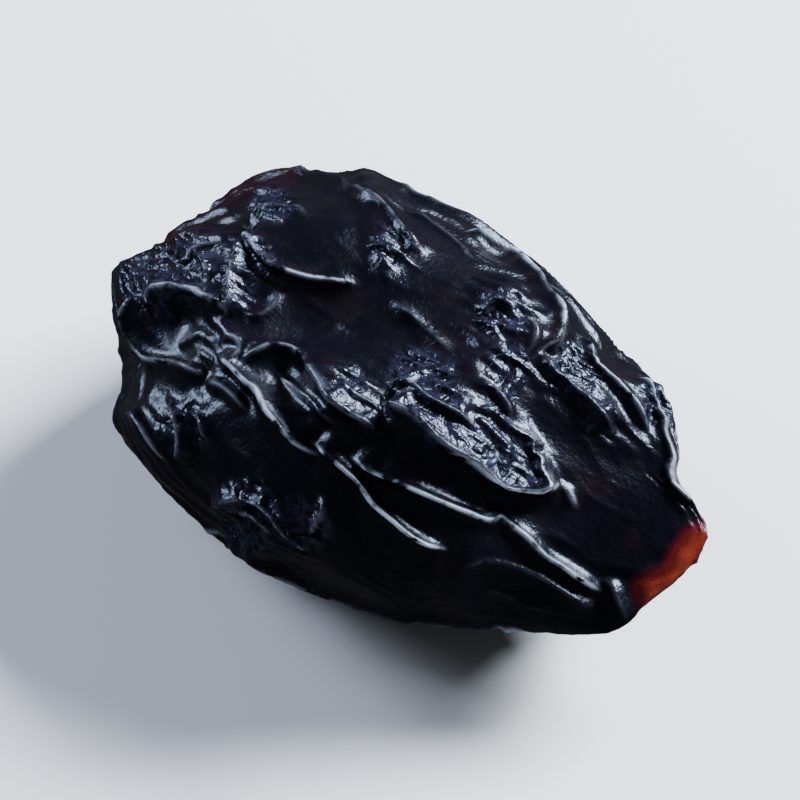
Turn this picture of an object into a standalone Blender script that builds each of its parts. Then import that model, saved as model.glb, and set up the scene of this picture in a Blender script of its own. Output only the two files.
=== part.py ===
"""A prune, the dried fruit of a plum, lying on its broad side as one closed solid.

Metres, +Z up. +X runs from the blunt blossom end to the pinched stalk end, and the
origin is on the surface that the prune lies on, under the middle of its box.
Sizes in the tables below are millimetres, and angles are degrees.
"""

import math

import bpy
import numpy as np
from mathutils import Vector, noise

MM = 0.001

# The body without its folds: the dried flesh, about as long as a large prune.
LENGTH = 38.6
WIDTH = 25.6
THICKNESS = 18.0
FLAT_DEPTH = 1.15  # how much of the underside is pressed flat by its own weight
FLAT_SOFTNESS = 0.22  # how gently the flat rolls off into the round

# How square each end is: 2 is an ellipse, more is blunter and less is more pointed.
BLOSSOM_SQUARE = 2.7
STALK_SQUARE = 2.7

# The stalk end is pinched to a thin lip.
LIP_TURN = 32.0  # the lip leans out of the flat by this much
LIP_PINCH = 0.76  # share of the thickness that the pinch takes at the very end
LIP_PINCH_START = 5.0  # how far along +X the pinch begins

# The seen side is the one that faces a viewer who stands at this turn from -Y and
# this height above the table. Folds on it are placed as that viewer sees them.
SEEN_TURN = 35.0
SEEN_HEIGHT = 50.0

# The outline as that viewer sees it: right, up from the middle, anticlockwise.
OUTLINE = [
    (17.7, -7.2), (17.5, -6.3), (16.8, -5.4), (16.2, -4.5), (16.0, -3.2), (15.9, -1.5), (15.6, 0.0),
    (14.9, 1.2), (13.8, 2.3), (12.0, 4.0), (10.9, 5.3), (10.0, 6.4), (8.4, 7.9), (6.7, 9.2), (4.6, 10.8),
    (2.6, 11.7), (1.0, 12.5), (-0.6, 13.3), (-2.0, 13.8), (-3.3, 13.5), (-4.7, 13.8), (-6.0, 13.9),
    (-7.8, 13.6), (-9.4, 12.8), (-11.6, 11.2), (-13.8, 9.7), (-14.9, 8.9), (-16.1, 8.4), (-16.8, 7.5),
    (-16.9, 5.8), (-16.7, 4.4), (-16.1, 2.9), (-15.9, 1.2), (-16.1, 0.4), (-16.8, -0.6), (-16.6, -1.7),
    (-15.7, -3.2), (-12.6, -6.5), (-9.4, -9.2), (-6.0, -10.9), (0.0, -12.8), (6.6, -13.4), (11.2, -13.6),
    (13.0, -12.7), (14.5, -11.1), (16.1, -9.9), (17.3, -8.7),
]
OUTLINE_BINS = 144  # directions in which the body's own edge is measured

# Broad swellings and hollows: right, up as seen, radius, height. Minus is a hollow.
LOBES = [
    ("upper shoulder", -5.5, 10.2, 4.4, 1.1),
    ("long hollow, left", -4.8, 4.9, 3.6, -1.4),
    ("long hollow, middle", 1.0, 4.0, 3.6, -1.1),
    ("long hollow, right", 7.4, -0.6, 2.6, -0.7),
    ("hollow inside the junction lobe", -6.8, 1.6, 1.7, -0.8),
    ("right shoulder", 6.8, 6.4, 3.6, 0.5),
    ("blossom hollow", -13.2, 4.9, 2.2, -1.4),
    ("lower blossom lobe", -14.8, -2.0, 3.4, 0.6),
    ("hollow under the bright crest", 5.6, -5.6, 1.8, -0.6),
    ("hollow under the middle crest", -1.5, -4.6, 1.6, -0.4),
    ("stalk shoulder", 12.2, -1.0, 3.2, 0.8),
    ("lower belly", 3.0, -10.0, 4.5, 0.5),
    ("lower hollow", -3.2, -8.4, 2.4, -0.5),
]

# Crests on the seen side: the line as (right, up), then height, and how far the flank
# reaches above the line and below it, or to its right and its left where it runs down.
CRESTS = [
    ("shoulder crest", [(-9.3, 10.2), (-8.7, 9.4), (-7.8, 8.5), (-6.8, 7.8), (-5.4, 7.3), (-4.0, 7.05),
        (-2.3, 6.9)], 0.5, 0.55, 0.4),
    ("dome rim", [(-9.2, 10.4), (-8.5, 11.2), (-7.6, 11.7), (-6.3, 11.8)], 0.3, 0.6, 0.5),
    ("dome wrinkle", [(-6.4, 12.4), (-5.9, 11.8), (-5.4, 11.0)], 0.2, 0.4, 0.4),
    ("top streak", [(-3.1, 12.9), (-2.2, 12.3), (-1.5, 11.9), (-0.9, 11.4), (-0.1, 10.4), (0.8, 9.4),
        (1.6, 8.8)], 0.7, 0.8, 0.4),
    ("top back wrinkle", [(0.4, 12.0), (2.0, 10.9), (3.4, 9.9), (4.6, 8.8)], 0.25, 0.6, 0.5),
    ("right crescent", [(3.8, 10.8), (4.8, 10.2), (5.9, 9.5), (6.8, 8.9), (7.6, 8.1), (8.3, 7.2),
        (8.8, 6.2), (9.2, 5.0), (8.9, 3.9), (8.2, 3.1)], 0.8, 0.6, 0.55),
    ("right outer ridge", [(7.6, 8.4), (8.8, 7.2), (9.9, 5.8), (11.0, 4.4), (12.3, 3.0)], 0.35, 0.5,
        0.5),
    ("right pocket", [(4.6, 5.2), (5.0, 5.8), (5.8, 6.0), (6.6, 5.7), (6.9, 5.0)], 0.3, 0.5, 0.35),
    ("right upright", [(7.8, 5.4), (7.7, 4.1), (7.3, 2.6)], 0.35, 0.6, 0.4),
    ("right patch", [(8.1, 3.2), (8.8, 2.0), (9.7, 1.0), (10.8, 0.2), (11.7, -0.9), (12.2, -1.9)], 0.55,
        1.2, 0.5),
    ("right edge crest", [(10.3, 4.3), (11.0, 3.4), (12.2, 1.7), (13.1, 0.5), (14.0, -0.8),
        (14.6, -1.6)], 0.7, 0.9, 0.4),
    ("right rim", [(13.8, 1.8), (14.7, 0.6), (15.3, -0.9), (15.4, -2.6), (15.5, -3.9), (16.0, -5.0),
        (16.7, -5.9), (17.2, -6.5)], 0.45, 0.6, 0.45),
    ("inner right line", [(-0.6, 6.2), (0.4, 5.2), (1.6, 4.2), (3.1, 3.0)], 0.3, 0.5, 0.4),
    ("inner right dash", [(4.3, 1.3), (5.2, 0.6), (6.2, -0.3), (6.8, -1.1)], 0.4, 0.9, 0.35),
    ("junction lobe", [(-9.2, 1.9), (-8.4, 2.7), (-7.4, 3.1), (-6.2, 3.0), (-5.4, 2.4), (-4.5, 1.4),
        (-3.7, 0.2), (-2.9, -0.6), (-2.1, -1.2), (-1.0, -1.9)], 1.0, 1.5, 0.45),
    ("junction branch", [(-3.4, 0.5), (-2.3, 0.2), (-1.1, -0.4)], 0.3, 0.5, 0.35),
    ("junction, inner", [(-7.4, 2.0), (-6.4, 1.1), (-5.4, 0.3), (-4.4, -0.8), (-3.6, -1.6)], 0.35, 0.6,
        0.35),
    ("long crest, left", [(-10.7, 2.9), (-9.9, 2.3), (-9.1, 1.4), (-8.2, 0.5), (-7.4, -0.7),
        (-6.6, -1.8), (-5.8, -2.5), (-4.8, -3.0)], 0.75, 0.6, 0.35),
    ("long crest, branch", [(-11.6, 1.4), (-10.5, 1.0), (-9.5, 0.3), (-8.6, -0.6)], 0.45, 0.5, 0.4),
    ("long crest, right", [(-5.3, -2.2), (-4.2, -2.9), (-3.4, -3.7), (-2.6, -4.5), (-1.3, -6.0),
        (0.0, -7.2), (1.4, -8.1), (2.8, -8.6)], 0.6, 0.5, 0.35),
    ("middle crest", [(-3.0, -2.8), (-1.6, -3.9), (-0.1, -4.6), (1.3, -5.2), (2.8, -5.9), (4.2, -6.5),
        (5.0, -6.7), (5.8, -6.6), (6.6, -7.2)], 0.65, 0.7, 0.35),
    ("middle crest, lower", [(5.2, -6.5), (5.9, -6.7), (6.6, -7.3), (8.1, -8.7), (9.5, -9.6),
        (11.2, -10.5), (12.1, -11.2)], 0.55, 0.5, 0.35),
    ("middle shoulder", [(3.8, -6.2), (4.9, -6.4), (5.8, -6.2)], 0.4, 0.8, 0.4),
    ("bright crest", [(-1.2, 0.4), (-0.3, -0.4), (0.5, -1.0), (1.8, -2.1), (3.0, -2.85), (4.2, -3.6),
        (5.4, -4.3), (6.6, -4.8), (7.8, -5.0), (8.8, -4.7), (9.5, -4.4)], 1.25, 2.1, 0.4),
    ("bright crest, hook", [(9.0, -4.6), (9.6, -4.8), (9.9, -5.6), (10.1, -6.3)], 0.35, 0.4, 0.35),
    ("upper patch", [(-0.8, 1.5), (0.4, 0.9), (1.7, 0.1), (3.0, -0.5), (4.4, -1.3)], 0.6, 1.4, 0.35),
    ("blossom arc", [(-14.9, 5.9), (-13.9, 6.4), (-12.2, 6.4), (-11.0, 6.0), (-9.9, 5.2)], 0.8, 1.1,
        0.4),
    ("blossom rim", [(-15.3, 6.3), (-15.9, 5.2), (-15.9, 4.0), (-15.3, 2.8), (-14.3, 2.3), (-12.7, 2.0),
        (-11.4, 1.6)], 0.7, 0.6, 0.6),
    ("blossom rim, inner", [(-13.6, 3.2), (-12.5, 3.5), (-11.6, 4.0), (-11.1, 4.5)], 0.35, 0.5, 0.4),
    ("blossom hollow wrinkle", [(-13.7, 5.9), (-13.3, 5.2), (-12.7, 4.6)], 0.25, 0.4, 0.35),
    ("blossom upright", [(-9.3, 9.8), (-9.3, 8.9), (-9.5, 8.0), (-9.7, 6.8), (-9.9, 5.6), (-10.0, 4.7)],
        0.6, 0.7, 0.45),
    ("blossom upright, second", [(-12.0, 9.0), (-11.6, 8.2), (-11.4, 7.4), (-11.6, 6.5)], 0.4, 0.5,
        0.45),
    ("blossom top", [(-13.6, 7.8), (-12.6, 8.3), (-11.6, 8.9), (-10.2, 9.4)], 0.4, 0.7, 0.5),
    ("small pocket", [(-9.3, 5.5), (-8.5, 5.05), (-7.6, 5.2), (-7.0, 5.9), (-7.4, 6.7)], 0.25, 0.4,
        0.35),
    ("junction eye", [(-10.5, 3.4), (-10.0, 3.9), (-9.3, 3.6), (-9.2, 2.9), (-9.7, 2.4)], 0.2, 0.4,
        0.35),
    ("lower lobe crest", [(-16.0, -0.5), (-15.3, -1.3), (-14.7, -2.1), (-14.2, -3.0), (-13.9, -3.9)],
        0.7, 0.6, 0.6),
    ("lower lobe, inner", [(-13.7, 0.1), (-13.1, -0.8), (-12.9, -1.8), (-12.9, -2.7), (-13.5, -3.8)],
        0.45, 0.5, 0.4),
    ("lower lobe dash", [(-11.9, -0.6), (-11.4, -1.4), (-11.2, -2.4)], 0.3, 0.4, 0.35),
    ("lower arch", [(-11.4, -6.4), (-10.5, -6.0), (-9.5, -5.8), (-8.5, -6.0), (-7.8, -6.4), (-6.9, -7.2),
        (-6.3, -8.1), (-5.7, -9.1)], 0.7, 0.8, 0.4),
    ("lower arch, inner", [(-10.2, -7.0), (-9.2, -6.9), (-8.3, -7.4), (-7.7, -8.3)], 0.4, 0.6, 0.4),
    ("lower middle", [(-4.3, -5.3), (-4.5, -6.4), (-5.0, -7.2), (-5.6, -8.0)], 0.4, 0.6, 0.5),
    ("belly fold", [(3.0, -10.0), (4.6, -9.4), (6.4, -9.5), (7.8, -10.0), (9.3, -10.9), (10.8, -11.9)],
        0.35, 0.9, 0.7),
    ("belly fold, lower", [(4.6, -11.2), (6.2, -11.6), (7.8, -12.1), (9.6, -11.9)], 0.25, 0.8, 0.7),
    ("lip seam", [(11.4, -9.8), (12.0, -10.6), (12.4, -11.5), (12.7, -12.6)], 0.35, 0.4, 0.35),
]

CREST_ROUND = 0.3  # softness of a crest's own edge, as a share of its flank
CREST_FADE = 1.5  # length over which each end of a crest dies away
CREST_MEETING = 3.0  # where crests meet, the more of this the less they pile up
WOBBLE = 0.16  # how far the crests wander from their lines
WOBBLE_STEP = 2.0

# Crests on the hidden side run lengthwise, evenly round it, with a seeded drift.
HIDDEN_SEED = 12
HIDDEN_ROWS = 9
HIDDEN_FIRST, HIDDEN_LAST = 208.0, 382.0  # turn round the long axis, from +Y over +Z
HIDDEN_HEIGHT = 1.1
HIDDEN_FLANK = 1.2

# Secondary folds by noise, drawn out along the fold way: step across, height, sharpness.
NOISE_SEED = 5
FOLD_WAY_DOWN = 40.0  # the folds run down to the right by this much, as seen
FOLD_STRETCH = 2.6
SECOND_FOLDS = [(4.6, 0.5, 0.26), (2.5, 0.2, 0.3)]
SECOND_ON_SEEN_SIDE = 0.2  # share of them left where the crests are placed by hand

SKIN_COLOUR = (0.018, 0.010, 0.016, 1.0)
SKIN_ROUGHNESS = 0.35

FINE_LEVELS = 6  # times the starting cube's faces are split
DECIMATE_TO = 10400  # triangles kept


def clear_scene():
    for obj in list(bpy.data.objects):
        bpy.data.objects.remove(obj, do_unlink=True)


def smooth(low, high, value):
    """0 below low, 1 above high, and a smooth ramp between them."""
    t = np.clip((value - low) / (high - low), 0.0, 1.0)
    return t * t * (3 - 2 * t)


def turn_and_height(turn, height):
    """Unit vectors of a viewer at that turn and height: right, up and towards them."""
    a, e = math.radians(turn), math.radians(height)
    right = np.array([math.cos(a), math.sin(a), 0.0])
    towards = np.array([math.sin(a) * math.cos(e), -math.cos(a) * math.cos(e), math.sin(e)])
    return right, np.cross(towards, right), towards


SEEN_RIGHT, SEEN_UP, SEEN_TOWARDS = turn_and_height(SEEN_TURN, SEEN_HEIGHT)


def noise_at(points, step, shift=0.0):
    """Smooth noise vectors, one for each point, that change over about a step."""
    return np.array([noise.noise_vector(place) for place in points / step + shift])


def body_points(directions):
    """The plain body: a long superellipsoid, blunt at -X and pinched to a thin lip at +X."""
    along = directions[:, 0]
    around = np.sqrt(np.maximum(1 - along**2, 1e-12))
    square = 2.1 + (BLOSSOM_SQUARE - 2.1) * smooth(0.2, 0.8, -along)
    square = square + (STALK_SQUARE - square) * smooth(0.45, 0.95, along)
    reach = (np.abs(along) ** square + around**square) ** (-1 / square)
    half = np.array([LENGTH, WIDTH, THICKNESS]) / 2
    points = directions * reach[:, None] * half
    lean = math.radians(LIP_TURN)
    thin_way = np.array([0.0, -math.sin(lean), math.cos(lean)])
    pinch = LIP_PINCH * smooth(LIP_PINCH_START, half[0], points[:, 0])
    return points - (pinch * (points @ thin_way))[:, None] * thin_way


def curve_through(corners, steps=12):
    """A smooth line through the corners, by Catmull-Rom, with steps to each stretch."""
    corners = np.asarray(corners, float)
    padded = np.vstack([2 * corners[0] - corners[1], corners, 2 * corners[-1] - corners[-2]])
    line = []
    for i in range(len(corners) - 1):
        a, b, c, d = padded[i : i + 4]
        for t in np.linspace(0, 1, steps, endpoint=False):
            line.append(
                0.5 * (2 * b + (c - a) * t + (2 * a - 5 * b + 4 * c - d) * t**2 + (3 * b - a - 3 * c + d) * t**3)
            )
    return np.array(line + [corners[-1]])


def fit_outline(points, start):
    """Stretches the body, as seen, so that its edge follows the outline.

    Points nearer the middle than the start, as a share of the edge, stay.
    """
    right, up = points @ SEEN_RIGHT, points @ SEEN_UP
    angle, radius = np.arctan2(up, right), np.hypot(right, up)
    curve = curve_through(OUTLINE + OUTLINE[:1], 8)
    wanted_angle = np.arctan2(curve[:, 1], curve[:, 0])
    order = np.argsort(wanted_angle)
    bins = np.linspace(-math.pi, math.pi, OUTLINE_BINS + 1)
    place = np.clip(np.digitize(angle, bins) - 1, 0, OUTLINE_BINS - 1)
    edge = np.zeros(OUTLINE_BINS)
    np.maximum.at(edge, place, radius)
    middles = (bins[:-1] + bins[1:]) / 2
    wanted = np.interp(middles, wanted_angle[order], np.hypot(*curve.T)[order], period=2 * math.pi)
    ratio = wanted / edge - 1
    for _ in range(2):
        ratio = (np.roll(ratio, 1) + 2 * ratio + np.roll(ratio, -1)) / 4
    now = np.interp(angle, middles, edge, period=2 * math.pi)
    stretch = np.interp(angle, middles, ratio, period=2 * math.pi) * smooth(start, 1.0, radius / now)
    return points + stretch[:, None] * (right[:, None] * SEEN_RIGHT + up[:, None] * SEEN_UP)


def mesh_of(levels):
    """An even ball of four-sided faces, made from a cube, as unit directions."""
    bpy.ops.mesh.primitive_cube_add(size=2)
    obj = bpy.context.object
    round_off = obj.modifiers.new("round off", "SUBSURF")
    round_off.levels = round_off.render_levels = levels
    bpy.ops.object.modifier_apply(modifier=round_off.name)
    count = len(obj.data.vertices)
    points = np.empty(count * 3)
    obj.data.vertices.foreach_get("co", points)
    points = points.reshape(-1, 3)
    return obj, points / np.linalg.norm(points, axis=1)[:, None]


def set_points(obj, points):
    """Moves the mesh's points, given in millimetres, and returns its new normals."""
    obj.data.vertices.foreach_set("co", (points * MM).ravel())
    obj.data.update()
    normals = np.empty(len(points) * 3)
    obj.data.vertices.foreach_get("normal", normals)
    return normals.reshape(-1, 3)


def seen_line(points, normals, corners):
    """The line through places given as the viewer sees them, laid on the seen side."""
    facing = normals @ SEEN_TOWARDS > 0.02
    right, up = (points @ SEEN_RIGHT)[facing], (points @ SEEN_UP)[facing]
    depth = (points @ SEEN_TOWARDS)[facing]
    line = []
    for r, u in curve_through(corners, 4):
        miss = (right - r) ** 2 + (up - u) ** 2
        weight = np.exp(-miss / (miss.min() + 0.1))
        line.append(r * SEEN_RIGHT + u * SEEN_UP + (weight @ depth) / weight.sum() * SEEN_TOWARDS)
    return np.array(line)


def nearest_on_line(points, line):
    """For each point: distance to the line, the offset from it, the length along it and the line's way."""
    best = np.full(len(points), np.inf)
    offset = np.zeros_like(points)
    along = np.zeros(len(points))
    way = np.zeros_like(points)
    start = 0.0
    for a, b in zip(line[:-1], line[1:]):
        length = np.linalg.norm(b - a)
        step = (b - a) / length
        t = np.clip((points - a) @ step, 0, length)
        away = points - a - t[:, None] * step
        distance = np.einsum("ij,ij->i", away, away)
        closer = distance < best
        best[closer] = distance[closer]
        offset[closer] = away[closer]
        along[closer] = start + t[closer]
        way[closer] = step
        start += length
    return np.sqrt(best), offset, along, way, start


def crest_rise(points, normals, line, height, above, below):
    """How far a crest along the line lifts each point: sharp at the line, hollow flanks."""
    rise = np.zeros(len(points))
    reach = 5 * max(above, below)
    near = np.all((points > line.min(0) - reach) & (points < line.max(0) + reach), axis=1)
    distance, offset, along, way, total = nearest_on_line(points[near], line)
    side = np.einsum("ij,ij->i", np.cross(way, offset), normals[near]) / np.maximum(distance, 1e-6)
    flank = below + (above - below) * smooth(-0.5, 0.5, side)
    t = np.sqrt((distance / flank) ** 2 + CREST_ROUND**2) - CREST_ROUND
    fade = min(CREST_FADE, 0.45 * total)
    ends = smooth(0, fade, along) * smooth(0, fade, total - along)
    rise[near] = height * ends * np.exp(-t)
    return rise


def add_lobes(points, normals):
    """Broad swellings and hollows, each fading with distance from its middle."""
    moved = points.copy()
    for _, right, up, radius, height in LOBES:
        middle = seen_line(points, normals, [(right, up), (right, up + 0.01)])[0]
        away = np.linalg.norm(points - middle, axis=1) / radius
        moved += normals * (height * np.exp(-(away**2)))[:, None]
    return moved


def seen_crests(points, normals):
    """The seen side's crests, placed by hand."""
    wandering = points + WOBBLE * noise_at(points, WOBBLE_STEP)
    rise = np.zeros(len(points))
    for _, corners, height, above, below in CRESTS:
        line = seen_line(points, normals, corners)
        rise += crest_rise(wandering, normals, line, height, above, below) ** CREST_MEETING
    return rise ** (1 / CREST_MEETING)


def hidden_crests(points, normals, directions):
    """The hidden side's crests, laid round it by rule."""
    rng = np.random.default_rng(HIDDEN_SEED)
    wandering = points + 5 * WOBBLE * noise_at(points, 2.5 * WOBBLE_STEP, 20.0)
    rise = np.zeros(len(points))
    for turn in np.linspace(HIDDEN_FIRST, HIDDEN_LAST, HIDDEN_ROWS):
        cuts = np.sort(rng.uniform(-0.6, 0.6, 1))
        for start, end in ((-0.93, cuts[0] + 0.12), (cuts[0] - 0.06, 0.9)):
            drift = np.cumsum(rng.normal(0, 7.0, 6)) + rng.normal(0, 6.0)
            places = []
            for share, wander in zip(np.linspace(start, end, 6), drift):
                a, ring = math.radians(turn + wander), math.sqrt(1 - share**2)
                way = np.array([share, ring * math.cos(a), ring * math.sin(a)])
                places.append(points[np.argmax(directions @ way)])
            height, above, below = rng.uniform(0.7, 1.2, 3) * (HIDDEN_HEIGHT, HIDDEN_FLANK, HIDDEN_FLANK)
            line = curve_through(places, 4)
            rise += crest_rise(wandering, normals, line, height, above, below) ** CREST_MEETING
    return rise ** (1 / CREST_MEETING)


def second_folds(points):
    """Lesser folds, sharp where smooth noise crosses nothing and long along the fold way."""
    down = math.radians(FOLD_WAY_DOWN)
    way = math.cos(down) * SEEN_RIGHT - math.sin(down) * SEEN_UP
    drawn = points - np.outer(points @ way, way) * (1 - 1 / FOLD_STRETCH)
    drawn = drawn + 0.8 * noise_at(points, 5.0, 7.0)
    rise = np.zeros(len(points))
    for step, height, sharp in SECOND_FOLDS:
        level = noise_at(drawn, step, step)[:, 0]
        rise += height * np.exp(-np.abs(level) / sharp)
    return rise


def shaped_points(obj, directions):
    """The whole prune's points in millimetres, standing free of the table."""
    noise.seed_set(NOISE_SEED)
    points = fit_outline(body_points(directions), 0.2)
    normals = set_points(obj, points)
    points = add_lobes(points, normals)
    normals = set_points(obj, points)
    lip = smooth(13.5, 17.5, points[:, 0])
    second = 1 - (1 - SECOND_ON_SEEN_SIDE) * smooth(-0.3, 0.3, normals @ SEEN_TOWARDS)
    rise = seen_crests(points, normals)
    rise += (1 - lip) * (hidden_crests(points, normals, directions) + second * second_folds(points))
    points = points + normals * (rise - 0.35)[:, None]
    return fit_outline(fit_outline(points, 0.45), 0.45)


def press_flat(points):
    """Presses the underside to a flat at height nothing."""
    height = points[:, 2] - points[:, 2].min() - FLAT_DEPTH
    pressed = FLAT_SOFTNESS * np.logaddexp(0, height / FLAT_SOFTNESS) - 0.25 * FLAT_SOFTNESS
    return np.column_stack([points[:, :2], np.maximum(pressed, 0)])


def thin_out(obj):
    """Keeps as few triangles as still show the folds."""
    fewer = obj.modifiers.new("thin out", "DECIMATE")
    fewer.ratio = DECIMATE_TO / (2 * len(obj.data.polygons))
    fewer.use_collapse_triangulate = True
    bpy.context.view_layer.objects.active = obj
    bpy.ops.object.modifier_apply(modifier=fewer.name)


def settle(obj):
    """Puts the flat exactly at height nothing, with the middle of the box over the origin."""
    middle = sum((Vector(corner) for corner in obj.bound_box), Vector()) / 8
    for vertex in obj.data.vertices:
        vertex.co.x -= middle.x
        vertex.co.y -= middle.y
        if vertex.co.z < 0.03 * MM:
            vertex.co.z = 0.0
    obj.data.update()


def dress(obj):
    """The dark violet-brown skin."""
    skin = bpy.data.materials.new("prune skin")
    skin.use_nodes = True
    shader = skin.node_tree.nodes["Principled BSDF"]
    shader.inputs["Base Color"].default_value = SKIN_COLOUR
    shader.inputs["Roughness"].default_value = SKIN_ROUGHNESS
    skin.diffuse_color = SKIN_COLOUR
    obj.data.materials.append(skin)


def gather(obj):
    """Puts the prune in a collection of its own."""
    collection = bpy.data.collections.new("prune")
    bpy.context.scene.collection.children.link(collection)
    for other in list(obj.users_collection):
        other.objects.unlink(obj)
    collection.objects.link(obj)


def main():
    clear_scene()
    prune, directions = mesh_of(FINE_LEVELS)
    prune.name = prune.data.name = "prune"
    set_points(prune, press_flat(shaped_points(prune, directions)))
    thin_out(prune)
    settle(prune)
    dress(prune)
    gather(prune)


if __name__ == "__main__":
    main()
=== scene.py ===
import math

import bpy
import numpy as np
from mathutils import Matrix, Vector, noise


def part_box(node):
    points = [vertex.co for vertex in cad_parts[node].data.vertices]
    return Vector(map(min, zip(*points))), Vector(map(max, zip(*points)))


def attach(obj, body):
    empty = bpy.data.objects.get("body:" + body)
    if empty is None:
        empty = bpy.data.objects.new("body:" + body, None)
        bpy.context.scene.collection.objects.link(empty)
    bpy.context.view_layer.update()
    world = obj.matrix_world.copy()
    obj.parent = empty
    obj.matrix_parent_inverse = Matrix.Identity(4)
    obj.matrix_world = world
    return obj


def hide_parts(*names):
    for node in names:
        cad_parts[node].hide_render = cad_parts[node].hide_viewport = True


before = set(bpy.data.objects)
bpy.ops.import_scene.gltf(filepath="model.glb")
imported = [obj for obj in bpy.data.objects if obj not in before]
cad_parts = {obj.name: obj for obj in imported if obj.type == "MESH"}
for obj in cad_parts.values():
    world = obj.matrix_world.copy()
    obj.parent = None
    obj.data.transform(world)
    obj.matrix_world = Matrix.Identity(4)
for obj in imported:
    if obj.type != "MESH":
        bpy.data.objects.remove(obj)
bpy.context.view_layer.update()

bpy.ops.object.select_all(action="DESELECT")
print("frame loaded:", sorted(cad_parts))

# the prune's sizes are millimetres, turned into metres where its mesh is set; angles are degrees
mm = 0.001

pruneForm = {
    "length": 38.6,
    "width": 25.6,
    "thickness": 18.0,
    "flatDepth": 1.15,       # how much of the underside its own weight presses flat
    "flatSoftness": 0.22,
    "middleSquare": 2.1,     # 2 is an ellipse, more is blunter
    "blossomSquare": 2.7,
    "stalkSquare": 2.7,
    "lipTurn": 32.0,         # the pinched lip leans out of the flat
    "lipPinch": 0.76,        # share of the thickness that the pinch takes at the very end
    "lipPinchStart": 5.0,    # how far along the pinch begins
    "lipSmooth": (13.5, 17.5),    # how far along the hidden folds fade into the lip
    "seenTurn": 35.0,        # the viewer that the folds are placed for
    "seenHeight": 50.0,
    "outlineBins": 144,
    "outlineHalf": (17.0, 13.5),
    "bodyStretchFrom": 0.2,  # share of the way out where the outline begins to pull
    "skinStretchFrom": 0.45,
    "crestRound": 0.15,      # how rounded a crest's top is, as a share of its flank
    "crestTip": 0.13,        # share of a crest's height in its narrow tip
    "crestTipWidth": 0.19,
    "crestHighlight": 0.105,      # half width of the painted highlight line along a crest
    "faintHighlight": 0.3,
    "crestFade": 1.5,        # length over which a crest's ends die away
    "crestMeeting": 3.0,     # more makes crests meet without adding up
    "sunk": 0.35,            # how far the skin between the crests sinks
    "wobble": 0.16,          # how far the crests wander from their drawn lines
    "wobbleStep": 2.0,
    "hiddenSeed": 12,
    "hiddenRows": 9,
    "hiddenFirst": 208.0,    # turns round the length, from the first row of crests to the last
    "hiddenLast": 382.0,
    "hiddenHeight": 1.1,
    "hiddenFlank": 1.2,
    "noiseSeed": 5,
    "foldWayDown": 40.0,     # the folds run down to the right by this angle, as seen
    "foldStretch": 2.6,
    "foldDrift": 0.8,
    "secondFolds": [(4.6, 0.5, 0.26), (2.5, 0.2, 0.3)],    # spacing, height, sharpness
    "secondOnSeenSide": 0.2,
    "patchStep": 3.2,        # size of the tight and the crinkled patches on the hidden side
    "levels": 7,             # times the starting cube's faces are split
    "crowding": 0.3,         # how much closer the points are on the seen side
}

# the outline as seen: right and up from the middle, anticlockwise
pruneOutline = [
    (17.65, -7.3), (17.5, -6.3), (16.8, -5.4), (16.2, -4.5), (16.0, -3.2), (15.9, -1.5), (15.6, 0.0),
    (14.9, 1.2), (13.8, 2.3), (12.0, 4.0), (10.9, 5.3), (10.0, 6.4), (8.4, 7.9), (6.7, 9.2), (4.6, 10.8),
    (2.6, 11.7), (1.0, 12.5), (-0.6, 13.3), (-2.0, 13.8), (-3.3, 13.5), (-4.7, 13.8), (-6.0, 13.9),
    (-7.8, 13.6), (-9.4, 12.8), (-11.6, 11.2), (-13.8, 9.7), (-14.9, 8.9), (-16.1, 8.4), (-16.8, 7.5),
    (-16.9, 5.8), (-16.8, 4.4), (-16.5, 3.0), (-16.3, 1.3), (-16.4, 0.4), (-16.8, -0.6), (-16.6, -1.7),
    (-15.7, -3.2), (-12.6, -6.5), (-9.4, -9.2), (-6.0, -10.9), (0.0, -12.8), (6.6, -13.4), (11.2, -13.6),
    (13.0, -12.7), (13.7, -12.0), (14.6, -11.3), (15.5, -10.6), (16.4, -9.8), (17.0, -9.0), (17.45, -8.2),
]

# broad swellings and hollows: right, up, radius, height
pruneLobes = [
    (-5.5, 10.2, 4.4, 1.1),    # upper shoulder
    (-4.8, 4.9, 3.6, -1.4),    # long hollow, from the left to the right
    (1.0, 4.0, 3.6, -1.1),
    (7.4, -0.6, 2.6, -0.3),
    (-6.8, 1.6, 1.7, -0.8),    # inside the junction lobe
    (-4.5, 1.8, 1.5, 0.8),     # fullness of its right flank
    (-3.3, 0.2, 1.3, 0.6),
    (7.4, 6.0, 3.4, 0.95),     # right shoulder
    (7.4, 3.5, 1.7, 0.45),
    (-13.2, 4.9, 2.2, -1.4),   # blossom hollow
    (-14.8, -2.0, 3.4, 0.6),   # lower blossom lobe
    (5.6, -5.6, 1.8, -0.6),    # under the bright crest
    (-1.5, -4.6, 1.6, -0.4),
    (12.2, -1.0, 3.2, 0.8),    # stalk shoulder
    (3.0, -10.0, 4.5, 0.5),    # lower belly
    (-3.2, -8.4, 2.4, -0.5),
]

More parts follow.
